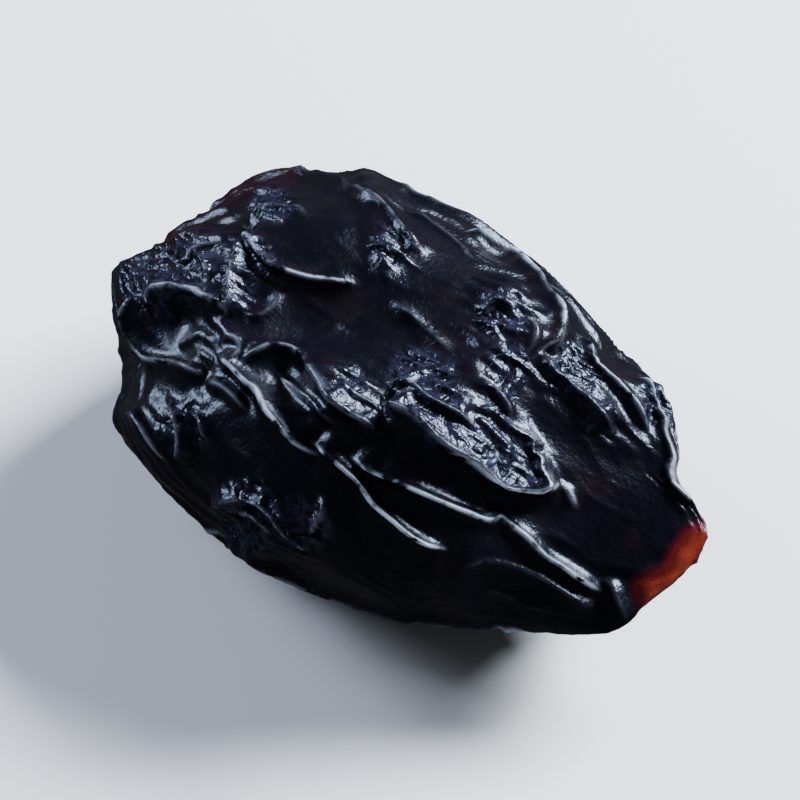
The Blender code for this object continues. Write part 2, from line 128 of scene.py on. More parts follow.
# crests on the seen side: the line as (right, up), height, flank above, flank below
pruneCrests = {
    "shoulder crest": ([(-9.3, 10.2), (-8.7, 9.4), (-7.8, 8.5), (-6.8, 7.8), (-5.4, 7.3), (-4.0, 7.05),
        (-2.3, 6.9)], 0.5, 0.55, 0.4),
    "dome rim": ([(-9.2, 10.4), (-8.5, 11.2), (-7.6, 11.7), (-6.3, 11.8)], 0.3, 0.6, 0.5),
    "dome wrinkle": ([(-6.4, 12.4), (-5.9, 11.8), (-5.4, 11.0)], 0.2, 0.4, 0.4),
    "top streak": ([(-3.1, 12.9), (-2.2, 12.3), (-1.5, 11.9), (-0.9, 11.4), (-0.1, 10.4), (0.8, 9.4),
        (1.6, 8.8)], 0.5, 0.8, 0.45),
    "top back wrinkle": ([(0.4, 12.0), (2.0, 10.9), (3.4, 9.9), (4.6, 8.8)], 0.25, 0.6, 0.5),
    "right crescent": ([(3.8, 10.8), (4.8, 10.2), (5.9, 9.5), (6.8, 8.9), (7.6, 8.1), (8.3, 7.2),
        (8.8, 6.2), (9.2, 5.0), (8.9, 3.9), (8.2, 3.1)], 0.8, 0.6, 0.55),
    "right outer ridge": ([(7.6, 8.4), (8.8, 7.2), (9.9, 5.8), (11.0, 4.4), (12.3, 3.0)], 0.35, 0.5,
        0.5),
    "right pocket": ([(4.6, 5.2), (5.0, 5.8), (5.8, 6.0), (6.6, 5.7), (6.9, 5.0)], 0.2, 0.5, 0.35),
    "right upright": ([(7.8, 5.4), (7.7, 4.1), (7.3, 2.6)], 0.35, 0.6, 0.4),
    "right patch": ([(8.1, 3.2), (8.8, 2.0), (9.7, 1.0), (10.8, 0.2), (11.7, -0.9), (12.2, -1.9)], 0.55,
        1.2, 0.5),
    "right edge crest": ([(10.3, 4.3), (11.0, 3.4), (12.2, 1.7), (13.1, 0.5), (14.0, -0.8),
        (14.6, -1.6)], 0.7, 0.9, 0.4),
    "right rim": ([(13.8, 1.8), (14.7, 0.6), (15.3, -0.9), (15.4, -2.6), (15.5, -3.9), (16.0, -5.0),
        (16.7, -5.9), (17.2, -6.5)], 0.45, 0.6, 0.45),
    "inner right line": ([(-0.6, 6.2), (0.4, 5.2), (1.6, 4.2), (3.1, 3.0)], 0.3, 0.5, 0.4),
    "inner right dash": ([(4.9, 1.2), (5.6, 0.5), (6.2, -0.3), (6.6, -1.1)], 0.3, 0.5, 0.35),
    "junction lobe, top": ([(-9.2, 1.9), (-8.4, 2.7), (-7.4, 3.1), (-6.2, 3.0), (-5.2, 2.3)], 0.5, 0.6,
        0.4),
    "junction lobe": ([(-6.6, 3.0), (-5.5, 2.5), (-4.6, 1.4), (-3.8, 0.2), (-3.0, -0.6), (-2.1, -1.2),
        (-1.0, -1.9)], 0.9, 1.1, 0.45),
    "junction branch": ([(-3.4, 0.5), (-2.3, 0.2), (-1.1, -0.4)], 0.3, 0.5, 0.35),
    "junction, inner": ([(-7.4, 2.0), (-6.4, 1.1), (-5.4, 0.3), (-4.4, -0.8), (-3.6, -1.6)], 0.35, 0.6,
        0.35),
    "long crest, left": ([(-10.7, 2.9), (-9.9, 2.3), (-9.1, 1.4), (-8.2, 0.5), (-7.4, -0.7),
        (-6.6, -1.8), (-5.8, -2.5), (-4.8, -3.0)], 0.95, 0.8, 0.35),
    "long crest, branch": ([(-11.6, 1.4), (-10.5, 1.0), (-9.5, 0.3), (-8.6, -0.6)], 0.45, 0.5, 0.4),
    "long crest, right": ([(-5.3, -2.2), (-4.2, -2.9), (-3.4, -3.7), (-2.6, -4.5), (-1.3, -6.0),
        (0.0, -7.2), (1.4, -8.1), (2.8, -8.6)], 0.6, 0.5, 0.35),
    "middle crest": ([(-3.0, -2.8), (-1.6, -3.9), (-0.1, -4.6), (1.3, -5.2), (2.8, -5.9), (4.2, -6.5),
        (5.0, -6.7), (5.8, -6.6), (6.6, -7.2)], 0.65, 0.7, 0.35),
    "middle crest, lower": ([(5.2, -6.5), (5.9, -6.7), (6.6, -7.3), (8.1, -8.7), (9.5, -9.6),
        (10.6, -10.3), (11.4, -10.8)], 0.55, 0.5, 0.35),
    "middle shoulder": ([(3.8, -6.2), (4.9, -6.4), (5.8, -6.2)], 0.4, 0.8, 0.4),
    "bright crest": ([(-1.2, 0.4), (-0.3, -0.4), (0.5, -1.0), (1.8, -2.1), (3.0, -2.85), (4.2, -3.6),
        (5.4, -4.3), (6.6, -4.8), (7.8, -5.0), (8.8, -4.7), (9.5, -4.4)], 1.25, 1.4, 0.4),
    "bright crest, line": ([(2.4, -2.7), (3.6, -3.4), (5.0, -4.2), (6.6, -4.9), (7.8, -5.05),
        (8.8, -4.8), (9.4, -4.4)], 0.2, 0.18, 0.18),
    "bright crest, hook": ([(9.0, -4.6), (9.6, -4.8), (9.9, -5.6), (10.1, -6.3)], 0.35, 0.4, 0.35),
    "upper patch": ([(-0.8, 1.5), (0.4, 0.9), (1.7, 0.1), (3.0, -0.5), (4.4, -1.3)], 0.6, 0.9, 0.35),
    "blossom arc": ([(-14.9, 5.9), (-13.9, 6.4), (-12.2, 6.4), (-11.0, 6.0), (-9.9, 5.2)], 0.8, 1.1,
        0.4),
    "blossom rim": ([(-15.3, 6.3), (-15.9, 5.2), (-15.9, 4.0), (-15.3, 2.8), (-14.3, 2.3), (-12.7, 2.0),
        (-11.4, 1.6)], 0.7, 0.6, 0.6),
    "blossom rim, inner": ([(-13.6, 3.2), (-12.5, 3.5), (-11.6, 4.0), (-11.1, 4.5)], 0.35, 0.5, 0.4),
    "blossom hollow wrinkle": ([(-13.7, 5.9), (-13.3, 5.2), (-12.7, 4.6)], 0.25, 0.4, 0.35),
    "blossom upright": ([(-9.3, 9.8), (-9.3, 8.9), (-9.5, 8.0), (-9.7, 6.8), (-9.9, 5.6), (-10.0, 4.7)],
        0.6, 0.7, 0.45),
    "blossom upright, second": ([(-12.0, 9.0), (-11.6, 8.2), (-11.4, 7.4), (-11.6, 6.5)], 0.4, 0.5,
        0.45),
    "blossom top": ([(-13.6, 7.8), (-12.6, 8.3), (-11.6, 8.9), (-10.2, 9.4)], 0.4, 0.7, 0.5),
    "small pocket": ([(-9.3, 5.5), (-8.5, 5.05), (-7.6, 5.2), (-7.0, 5.9), (-7.4, 6.7)], 0.25, 0.4,
        0.35),
    "junction eye": ([(-10.5, 3.4), (-10.0, 3.9), (-9.3, 3.6), (-9.2, 2.9), (-9.7, 2.4)], 0.2, 0.4,
        0.35),
    "lower lobe crest": ([(-16.0, -0.5), (-15.3, -1.3), (-14.7, -2.1), (-14.2, -3.0), (-13.9, -3.9)],
        0.7, 0.6, 0.6),
    "lower lobe, inner": ([(-13.7, 0.1), (-13.1, -0.8), (-12.9, -1.8), (-12.9, -2.7), (-13.5, -3.8)],
        0.45, 0.5, 0.4),
    "lower lobe dash": ([(-11.9, -0.6), (-11.4, -1.4), (-11.2, -2.4)], 0.3, 0.4, 0.35),
    "lower arch": ([(-11.4, -6.4), (-10.5, -6.0), (-9.5, -5.8), (-8.5, -6.0), (-7.8, -6.4), (-6.9, -7.2),
        (-6.3, -8.1), (-5.7, -9.1)], 0.7, 0.8, 0.4),
    "lower arch, inner": ([(-10.2, -7.0), (-9.2, -6.9), (-8.3, -7.4), (-7.7, -8.3)], 0.4, 0.6, 0.4),
    "lower middle": ([(-4.3, -5.3), (-4.5, -6.4), (-5.0, -7.2), (-5.6, -8.0)], 0.4, 0.6, 0.5),
    "belly fold": ([(3.0, -10.0), (4.6, -9.4), (6.4, -9.5), (7.8, -10.0), (9.3, -10.9), (10.8, -11.9)],
        0.35, 0.9, 0.7),
    "belly fold, lower": ([(4.6, -11.2), (6.2, -11.6), (7.8, -12.1), (9.6, -11.9)], 0.25, 0.8, 0.7),
    "lip seam": ([(11.4, -9.8), (12.0, -10.6), (12.4, -11.5), (12.7, -12.6)], 0.2, 0.4, 0.35),
}

# crests that get a bright painted highlight line along their edge, standing for the glint on a sharp
# crest; it is faint on the others
highlightedCrests = ("shoulder crest", "right crescent", "right edge crest", "right rim", "long crest, left",
              "long crest, right", "middle crest", "middle crest, lower", "bright crest, line",
              "bright crest, hook", "junction eye", "blossom arc")

# how the skin wrinkles as the flesh under it dries: spacing of the wrinkles, how much too
# wide the skin gets across the folds and along them, steps, seed
dryingSkin = {
    "passes": [(2.3, 0.11, 0.02, 240, 1), (1.0, 0.17, 0.08, 220, 2)],
    "inward": 2.2,           # how much harder it is to press in than to lift
    "outward": 0.8,
    "kick": 0.02,            # how uneven the skin is at the start
    "rate": 0.25,            # how far it moves in one step
    "keep": 0.94,            # how much of its speed it keeps from step to step
    "bed": 1.4,              # how firm the flesh is under the skin
    "hold": 0.5,             # how much easier it is to slide over the flesh
    "calmShare": 0.15,       # what is left of the broad wrinkles on the tight faces
    "plainShare": 0.3,       # what is left of the fine ones outside the crinkled patches
}

# faces where the skin is tight, and patches where it is finely crinkled: right, up, radius
tightFaces = [
    (-4.5, 10.3, 3.6), (-4.0, 5.0, 3.0), (0.5, 4.6, 3.0), (2.5, 7.6, 2.0), (12.0, -6.4, 3.0),
    (6.0, -8.0, 2.4), (-6.4, 1.2, 1.8), (-13.2, 4.9, 1.6), (-2.0, -10.0, 3.4), (4.5, -10.5, 4.0),
    (-8.0, -3.4, 3.0), (6.2, 2.6, 1.7), (9.6, -2.4, 1.9), (11.5, 5.0, 2.4), (0.0, -2.4, 1.4),
]
crinkledPatches = [
    (1.2, 1.1, 2.0), (2.6, -1.0, 1.8), (4.7, -2.0, 2.0), (6.6, -3.4, 1.6), (-3.0, 0.9, 1.2),
    (-1.6, -0.6, 1.1), (10.0, 1.7, 1.8), (11.4, -0.9, 1.2), (5.6, 0.5, 1.1), (-14.2, 7.0, 2.2),
    (-11.8, 7.7, 2.2), (-8.6, 8.4, 1.4), (-8.6, -6.8, 2.2), (-12.5, -1.5, 1.6), (-7.4, 11.6, 1.2),
    (6.0, 5.2, 1.6), (-5.4, -7.0, 1.6), (14.6, 0.0, 1.4), (6.1, 2.1, 1.3), (-0.4, 9.0, 1.3),
    (-9.3, 6.6, 1.2),
]

skinLook = {
    "dark": (0.0016, 0.0014, 0.0034),
    "plum": (0.0034, 0.0020, 0.0054),
    "brown": (0.0060, 0.0024, 0.0034),
    # ridge: painted sheen, raised crests lighter and bluer as if catching the light
    "ridge": (0.0060, 0.0046, 0.0100),
    "thin": (0.0130, 0.0016, 0.0036),    # light coming through a thin edge
    "edge": (0.44, 0.49, 0.61),          # painted highlight: pale line along a crest, for the glint a sharp crest catches
    "bloom": (0.014, 0.014, 0.029),      # bluish wax on the crinkled skin
    "ridgeHeight": 0.3,                  # a ridge this high gets the ridge colour, a painted sheen, in full
    "thinRim": (0.90, 1.0),              # where the edge is thin: share of the way out,
    "thinRight": [(-15.5, -12.5), (-4.5, -7.0)],    # then right and up, each fading in
    "thinUp": (6.0, 8.5),
    "roughness": 0.28,
    "ior": 1.42,
    "sheenTint": (0.68, 0.78, 1.0),
    "broadScale": 0.16,                  # spots of each size, per millimetre
    "patchScale": 0.45,
    "fineScale": 1.5,
    "finerScale": 4.5,
    "breakScale": 0.8,                   # breaks in the painted highlight lines
    "creaseScale": 1.3,
    "creaseBend": 1.2,
    "bumpStrength": 0.5,
    "bumpDepth": 0.00022,
}

lipLook = {
    # where the red begins: right and up as seen
    "innerEdge": [
        (13.9, -13.6), (13.7, -12.6), (13.4, -11.6), (13.1, -10.8), (13.2, -10.1), (13.9, -9.8),
        (14.8, -9.3), (15.2, -8.5), (15.8, -7.6), (16.6, -7.0), (17.6, -6.8), (18.4, -6.8),
    ],
    "outWay": (0.76, -0.65),
    "spread": (-0.6, 1.3),    # across the inner edge, from dark skin to full colour
    "notLeftOf": 8.0,
    "rimFrom": 0.975,         # share of the way out where the rim gets darker
    "rimDark": 0.45,
    # the lip's own red flesh, painted brighter and more orange towards its thin edge for light shining
    # through it
    "deep": (0.020, 0.0016, 0.0055),
    "red": (0.080, 0.0055, 0.0055),
    "orange": (0.155, 0.0180, 0.0080),
}

# metres and watts; a turn of 0 is behind the camera and 180 is behind the prune
studio = {
    "lens": 400.0,
    "sensor": 36.0,
    "across": 46.0,           # millimetres that the frame takes in
    "world": 0.07,
    "floorSize": 3.0,
    "floorColour": (0.86, 0.86, 0.87),
    "floorRoughness": 0.6,
    "lampAim": (0, 0, 0.009),
    "lampDistance": 0.5,
    # name: turn, height, wide, tall, power, colour
    "softboxes": {
        "rightSoftbox": (123, 37, 0.28, 0.17, 13.5, (0.82, 0.91, 1.0)),
        "leftSoftbox": (-118, 26, 0.24, 0.18, 3.2, (0.70, 0.80, 1.0)),
    },
    "glowTurn": 100,
    "glowDistance": 0.030,
    "glowLift": 0.0005,
    "glowSize": (0.03, 0.02),
    "glowPower": 0.007,
    "glowColour": (0.86, 0.92, 1.0),
}


def smooth(low, high, value):
    t = np.clip((value - low) / (high - low), 0.0, 1.0)
    return t * t * (3 - 2 * t)


def turnAndHeight(turn, height):
    # right, up and towards the viewer, as unit vectors
    a, e = math.radians(turn), math.radians(height)
    right = np.array([math.cos(a), math.sin(a), 0.0])
    towards = np.array([math.sin(a) * math.cos(e), -math.cos(a) * math.cos(e), math.sin(e)])
    return right, np.cross(towards, right), towards


seenRight, seenUp, seenTowards = turnAndHeight(pruneForm["seenTurn"], pruneForm["seenHeight"])


def noiseAt(points, step, shift=0.0):
    return np.array([noise.noise_vector(place) for place in points / step + shift])


def bodyPoints(directions):
    # a long superellipsoid, blunt at -X and pinched to a thin lip at +X
    f = pruneForm
    along = directions[:, 0]
    around = np.sqrt(np.maximum(1 - along**2, 1e-12))
    square = f["middleSquare"] + (f["blossomSquare"] - f["middleSquare"]) * smooth(0.2, 0.8, -along)
    square = square + (f["stalkSquare"] - square) * smooth(0.45, 0.95, along)
    reach = (np.abs(along) ** square + around**square) ** (-1 / square)
    half = np.array([f["length"], f["width"], f["thickness"]]) / 2
    points = directions * reach[:, None] * half
    lean = math.radians(f["lipTurn"])
    thinWay = np.array([0.0, -math.sin(lean), math.cos(lean)])
    pinch = f["lipPinch"] * smooth(f["lipPinchStart"], half[0], points[:, 0])
    return points - (pinch * (points @ thinWay))[:, None] * thinWay


def curveThrough(corners, steps=12):
    corners = np.asarray(corners, float)
    padded = np.vstack([2 * corners[0] - corners[1], corners, 2 * corners[-1] - corners[-2]])
    line = []
    for i in range(len(corners) - 1):
        a, b, c, d = padded[i : i + 4]
        for t in np.linspace(0, 1, steps, endpoint=False):
            square, cube = 2 * a - 5 * b + 4 * c - d, 3 * b - a - 3 * c + d
            line.append(0.5 * (2 * b + (c - a) * t + square * t**2 + cube * t**3))
    return np.array(line + [corners[-1]])


def fitOutline(points, start):
    # stretches the body, as seen, so that its edge follows the outline
    right, up = points @ seenRight, points @ seenUp
    angle, radius = np.arctan2(up, right), np.hypot(right, up)
    curve = curveThrough(pruneOutline + pruneOutline[:1], 8)
    wantedAngle = np.arctan2(curve[:, 1], curve[:, 0])
    order = np.argsort(wantedAngle)
    count = pruneForm["outlineBins"]
    bins = np.linspace(-math.pi, math.pi, count + 1)
    place = np.clip(np.digitize(angle, bins) - 1, 0, count - 1)
    edge = np.zeros(count)
    np.maximum.at(edge, place, radius)
    middles = (bins[:-1] + bins[1:]) / 2
    wanted = np.interp(middles, wantedAngle[order], np.hypot(*curve.T)[order], period=2 * math.pi)
    ratio = wanted / edge - 1
    for _ in range(2):
        ratio = (np.roll(ratio, 1) + 2 * ratio + np.roll(ratio, -1)) / 4
    now = np.interp(angle, middles, edge, period=2 * math.pi)
    stretch = np.interp(angle, middles, ratio, period=2 * math.pi) * smooth(start, 1.0, radius / now)
    return points + stretch[:, None] * (right[:, None] * seenRight + up[:, None] * seenUp)


def wayOut(right, up):
    # 0 in the middle and 1 on the outline, as seen
    halfRight, halfUp = pruneForm["outlineHalf"]
    curve = curveThrough(pruneOutline + pruneOutline[:1], 8)
    angle = np.arctan2(curve[:, 1], curve[:, 0])
    order = np.argsort(angle)
    edge = np.hypot(curve[:, 0] / halfRight, curve[:, 1] / halfUp)[order]
    return np.hypot(right / halfRight, up / halfUp) / np.interp(
        np.arctan2(up, right), angle[order], edge, period=2 * math.pi)


def roundBall(name, levels):
    # a cube rounded off to a ball of four-sided faces, as unit directions, closer on the seen side
    bpy.ops.mesh.primitive_cube_add(size=2)
    obj = bpy.context.object
    obj.name = obj.data.name = name
    roundOff = obj.modifiers.new("round off", "SUBSURF")
    roundOff.levels = roundOff.render_levels = levels
    bpy.ops.object.modifier_apply(modifier=roundOff.name)
    points = np.empty(len(obj.data.vertices) * 3)
    obj.data.vertices.foreach_get("co", points)
    points = points.reshape(-1, 3)
    even = points / np.linalg.norm(points, axis=1)[:, None]
    crowded = even + pruneForm["crowding"] * seenTowards
    return obj, crowded / np.linalg.norm(crowded, axis=1)[:, None]


def setPoints(obj, points):
    obj.data.vertices.foreach_set("co", (points * mm).ravel())
    obj.data.update()
    normals = np.empty(len(points) * 3)
    obj.data.vertices.foreach_get("normal", normals)
    return normals.reshape(-1, 3)


def seenLine(points, normals, corners):
    # a line placed as the viewer sees it, laid on the seen side
    facing = normals @ seenTowards > 0.02
    right, up = (points @ seenRight)[facing], (points @ seenUp)[facing]
    depth = (points @ seenTowards)[facing]
    line = []
    for r, u in curveThrough(corners, 4):
        miss = (right - r) ** 2 + (up - u) ** 2
        weight = np.exp(-miss / (miss.min() + 0.1))
        line.append(r * seenRight + u * seenUp + (weight @ depth) / weight.sum() * seenTowards)
    return np.array(line)


def nearestOnLine(points, line):
    # distance, offset from the line, place along it, the line's way there, and its whole length
    best = np.full(len(points), np.inf)
    offset = np.zeros_like(points)
    along = np.zeros(len(points))
    way = np.zeros_like(points)
    start = 0.0
    for a, b in zip(line[:-1], line[1:]):
        length = np.linalg.norm(b - a)
        step = (b - a) / length
        t = np.clip((points - a) @ step, 0, length)
        away = points - a - t[:, None] * step
        distance = np.einsum("ij,ij->i", away, away)
        closer = distance < best
        best[closer] = distance[closer]
        offset[closer] = away[closer]
        along[closer] = start + t[closer]
        way[closer] = step
        start += length
    return np.sqrt(best), offset, along, way, start


def crestRise(points, normals, line, height, above, below):
    # sharp at the line, with hollow flanks; the second result is 1 on the line's own edge, where a
    # highlight is painted
    rise, edge = np.zeros(len(points)), np.zeros(len(points))
    reach = 5 * max(above, below)
    near = np.all((points > line.min(0) - reach) & (points < line.max(0) + reach), axis=1)
    distance, offset, along, way, total = nearestOnLine(points[near], line)
    side = np.einsum("ij,ij->i", np.cross(way, offset), normals[near]) / np.maximum(distance, 1e-6)
    flank = below + (above - below) * smooth(-0.5, 0.5, side)
    soft = pruneForm["crestRound"]
    t = np.sqrt((distance / flank) ** 2 + soft**2) - soft
    tip = pruneForm["crestTip"]
    profile = (1 - tip) * np.exp(-t) + tip * np.exp(-((distance / pruneForm["crestTipWidth"]) ** 2))
    fade = min(pruneForm["crestFade"], 0.45 * total)
    ends = smooth(0, fade, along) * smooth(0, fade, total - along)
    rise[near] = height * ends * profile
    clear = float(smooth(0.2, 1.0, height / above))
    edge[near] = clear * ends * np.exp(-((distance / pruneForm["crestHighlight"]) ** 2))
    return rise, edge


def addLobes(points, normals):
    moved = points.copy()
    for right, up, radius, height in pruneLobes:
        middle = seenLine(points, normals, [(right, up), (right, up + 0.01)])[0]
        away = np.linalg.norm(points - middle, axis=1) / radius
        moved += normals * (height * np.exp(-(away**2)))[:, None]
    return moved


def seenCrests(points, normals):
    f = pruneForm
    wandering = points + f["wobble"] * noiseAt(points, f["wobbleStep"])
    rise, edge = np.zeros(len(points)), np.zeros(len(points))
    for name, (corners, height, above, below) in pruneCrests.items():
        line = seenLine(points, normals, corners)
        lifted, lined = crestRise(wandering, normals, line, height, above, below)
        rise += lifted ** f["crestMeeting"]
        edge = np.maximum(edge, lined * (1.0 if name in highlightedCrests else f["faintHighlight"]))
    return rise ** (1 / f["crestMeeting"]), edge


def hiddenCrests(points, normals, directions):
    f = pruneForm
    rng = np.random.default_rng(f["hiddenSeed"])
    wandering = points + 5 * f["wobble"] * noiseAt(points, 2.5 * f["wobbleStep"], 20.0)
    rise, edge = np.zeros(len(points)), np.zeros(len(points))
    for turn in np.linspace(f["hiddenFirst"], f["hiddenLast"], f["hiddenRows"]):
        # each row is two crests that overlap a little
        cut = rng.uniform(-0.6, 0.6)
        for start, end in ((-0.93, cut + 0.12), (cut - 0.06, 0.9)):
            drift = np.cumsum(rng.normal(0, 7.0, 6)) + rng.normal(0, 6.0)
            places = []
            for share, wander in zip(np.linspace(start, end, 6), drift):
                a, ring = math.radians(turn + wander), math.sqrt(1 - share**2)
                way = np.array([share, ring * math.cos(a), ring * math.sin(a)])
                places.append(points[np.argmax(directions @ way)])
            sizes = (f["hiddenHeight"], f["hiddenFlank"], f["hiddenFlank"])
            height, above, below = rng.uniform(0.7, 1.2, 3) * sizes
            lifted, lined = crestRise(wandering, normals, curveThrough(places, 4), height, above, below)
            rise += lifted ** f["crestMeeting"]
            edge = np.maximum(edge, f["faintHighlight"] * lined)
    return rise ** (1 / f["crestMeeting"]), edge


def foldWay():
    down = math.radians(pruneForm["foldWayDown"])
    return math.cos(down) * seenRight - math.sin(down) * seenUp


def secondFolds(points):
    # lower folds between the crests, drawn out along them
    way = foldWay()
    drawn = points - np.outer(points @ way, way) * (1 - 1 / pruneForm["foldStretch"])
    drawn = drawn + pruneForm["foldDrift"] * noiseAt(points, 5.0, 7.0)
    rise = np.zeros(len(points))
    for step, height, sharp in pruneForm["secondFolds"]:
        rise += height * np.exp(-np.abs(noiseAt(drawn, step, step)[:, 0]) / sharp)
    return rise


def shapedPoints(obj, directions):
    # the folded prune before its skin dries, and where highlights are painted along its crests
    f = pruneForm
    noise.seed_set(f["noiseSeed"])
    points = fitOutline(bodyPoints(directions), f["bodyStretchFrom"])
    normals = setPoints(obj, points)
    points = addLobes(points, normals)
    normals = setPoints(obj, points)
    lip = smooth(*f["lipSmooth"], points[:, 0])
    second = 1 - (1 - f["secondOnSeenSide"]) * smooth(-0.3, 0.3, normals @ seenTowards)
    seen, seenEdge = seenCrests(points, normals)
    hidden, hiddenEdge = hiddenCrests(points, normals, directions)
    rise = seen + (1 - lip) * (hidden + second * secondFolds(points))
    points = points + normals * (rise - f["sunk"])[:, None]
    for _ in range(2):
        points = fitOutline(points, f["skinStretchFrom"])
    return points, np.maximum(seenEdge, (1 - lip) * hiddenEdge)


def pressFlat(points):
    # the lowest part becomes a flat spot that rolls off softly into the round
    soft = pruneForm["flatSoftness"]
    height = points[:, 2] - points[:, 2].min() - pruneForm["flatDepth"]
    pressed = soft * np.logaddexp(0, height / soft) - 0.25 * soft
    return np.column_stack([points[:, :2], np.maximum(pressed, 0)])


def neighbourTables(mesh):
    # each point's four neighbours along edges, and four across faces
    count = len(mesh.vertices)
    quads = np.empty(len(mesh.polygons) * 4, np.int32)
    mesh.polygons.foreach_get("vertices", quads)
    q = quads.reshape(-1, 4)

    def table(pairs):
        pairs = np.unique(np.sort(pairs, axis=1), axis=0)
        both = np.vstack([pairs, pairs[:, ::-1]])
        both = both[np.argsort(both[:, 0], kind="stable")]
        slot = np.arange(len(both)) - np.searchsorted(both[:, 0], np.arange(count))[both[:, 0]]
        out = np.tile(np.arange(count)[:, None], (1, 4))
        out[both[slot < 4, 0], slot[slot < 4]] = both[slot < 4, 1]
        return out

    sides = np.vstack([q[:, [0, 1]], q[:, [1, 2]], q[:, [2, 3]], q[:, [3, 0]]])
    return table(sides), table(np.vstack([q[:, [0, 2]], q[:, [1, 3]]]))


def drySkin(points, normals, tables, share, wave, growAcross, growAlong, steps, seed):
    # the skin keeps more of its area than the flesh, so it buckles on its soft bed
    s = dryingSkin
    sides, across = tables
    rest, out = points.astype(np.float32), normals.astype(np.float32)
    near = np.hstack([sides, across])
    edge = rest[near] - rest[:, None, :]
    length = np.linalg.norm(edge, axis=2)
    way = foldWay() - (normals @ foldWay())[:, None] * normals
    way /= np.maximum(np.linalg.norm(way, axis=1), 1e-6)[:, None]
    lined = np.einsum("ijk,ik->ij", edge, way.astype(np.float32)) / np.maximum(length, 1e-6)
    grown = share[:, None] * (growAlong + (growAcross - growAlong) * (1 - lined**2))
    wanted = (length * (1 + grown)).astype(np.float32)
    cell = length[:, :4].mean(axis=1)
    for _ in range(8):
        cell = (cell + cell[sides].sum(axis=1)) / 5
    ratio = (wave / (math.pi * cell)) ** 4
    bed = (s["bed"] * growAcross / np.sqrt(ratio)).astype(np.float32)
    bend = (bed * ratio).astype(np.float32)
    step = (s["rate"] * 4 / np.sqrt(16 + 4 * bend)).astype(np.float32)[:, None]
    bend = bend[:, None]
    live = (near != np.arange(len(rest))[:, None]).astype(np.float32)
    rng = np.random.default_rng(seed)
    now = rest + out * (s["kick"] * rng.standard_normal(len(rest)).astype(np.float32))[:, None]
    speed = np.zeros_like(now)

    def curl(move):
        around = move[sides[:, 0]] + move[sides[:, 1]] + move[sides[:, 2]] + move[sides[:, 3]]
        return around * np.float32(0.25) - move

    for _ in range(steps):
        pull = np.zeros_like(now)
        for k in range(near.shape[1]):
            reach = now[near[:, k]] - now
            size = np.maximum(np.sqrt(np.einsum("ij,ij->i", reach, reach)), 1e-6)
            pull += ((1 - wanted[:, k] / size) * live[:, k])[:, None] * reach
        move = now - rest
        pull -= bend * curl(curl(move))
        lift = np.einsum("ij,ij->i", move, out)
        stiff = np.where(lift > 0, s["outward"], s["inward"]).astype(np.float32) * bed
        pull -= ((stiff - s["hold"] * bed) * lift)[:, None] * out
        pull -= s["hold"] * bed[:, None] * move
        speed = np.float32(s["keep"]) * speed + step * pull
        now = now + step * speed
    return now.astype(float)


def spotted(points, normals, spots):
    # 1 inside the listed spots of the seen side, and on patches of the hidden side
    right, up = points @ seenRight, points @ seenUp
    inside = np.zeros(len(points))
    for x, y, radius in spots:
        inside = np.maximum(inside, smooth(1.25, 0.75, np.hypot(right - x, up - y) / radius))
    seen = smooth(-0.1, 0.3, normals @ seenTowards)
    patches = smooth(-0.1, 0.25, noiseAt(points, pruneForm["patchStep"], 40.0)[:, 0])
    return seen * inside + (1 - seen) * patches


def setAttribute(obj, name, values):
    obj.data.attributes.new(name, "FLOAT", "POINT").data.foreach_set("value", values.astype(np.float32))


def driedPoints(prune, points, normals, tables, crinkled):
    tight = spotted(points, normals, tightFaces)
    calm, plain = dryingSkin["calmShare"], dryingSkin["plainShare"]
    shares = (1 - (1 - calm) * tight, plain + (1 - plain) * crinkled)
    for share, (wave, growAcross, growAlong, steps, seed) in zip(shares, dryingSkin["passes"]):
        points = drySkin(points, normals, tables, share, wave, growAcross, growAlong, steps, seed)
        normals = setPoints(prune, points)
        print("skin dried to wrinkles of about", wave, "mm")
    return points


def lipShare(right, up, out):
    # 0 on the dark skin and 1 on the red lip, a little darker at its very rim
    look = lipLook
    inner = curveThrough(look["innerEdge"], 8)
    nearest = np.argmin((right[:, None] - inner[:, 0]) ** 2 + (up[:, None] - inner[:, 1]) ** 2, axis=1)
    away = np.column_stack([right, up]) - inner[nearest]
    outward = away[:, 0] * look["outWay"][0] + away[:, 1] * look["outWay"][1]
    across = np.hypot(away[:, 0], away[:, 1]) * np.sign(outward)
    rim = 1 - look["rimDark"] * smooth(look["rimFrom"], 1.0, out)
    return np.where(right > look["notLeftOf"], rim * smooth(*look["spread"], across), 0.0)


def thinShare(right, up, out):
    # 1 where light comes through the thin top left edge
    share = smooth(*skinLook["thinRim"], out)
    for low, high in skinLook["thinRight"]:
        share = share * smooth(low, high, right)
    return share * smooth(*skinLook["thinUp"], up)


def markSkin(prune, points, normals, sides, crinkled, crestHighlight):
    # what the skin's colours and shine follow
    even = points
    for _ in range(12):
        even = (even + even[sides].sum(1)) / 5
    ridge = np.einsum("ij,ij->i", points - even, normals)
    setAttribute(prune, "ridge", np.clip(0.5 + ridge / skinLook["ridgeHeight"], 0, 1))
    setAttribute(prune, "crinkle", crinkled)
    setAttribute(prune, "crestHighlight", crestHighlight)
    right, up = points @ seenRight, points @ seenUp
    out = wayOut(right, up)
    setAttribute(prune, "lip", lipShare(right, up, out))
    setAttribute(prune, "thin", thinShare(right, up, out))


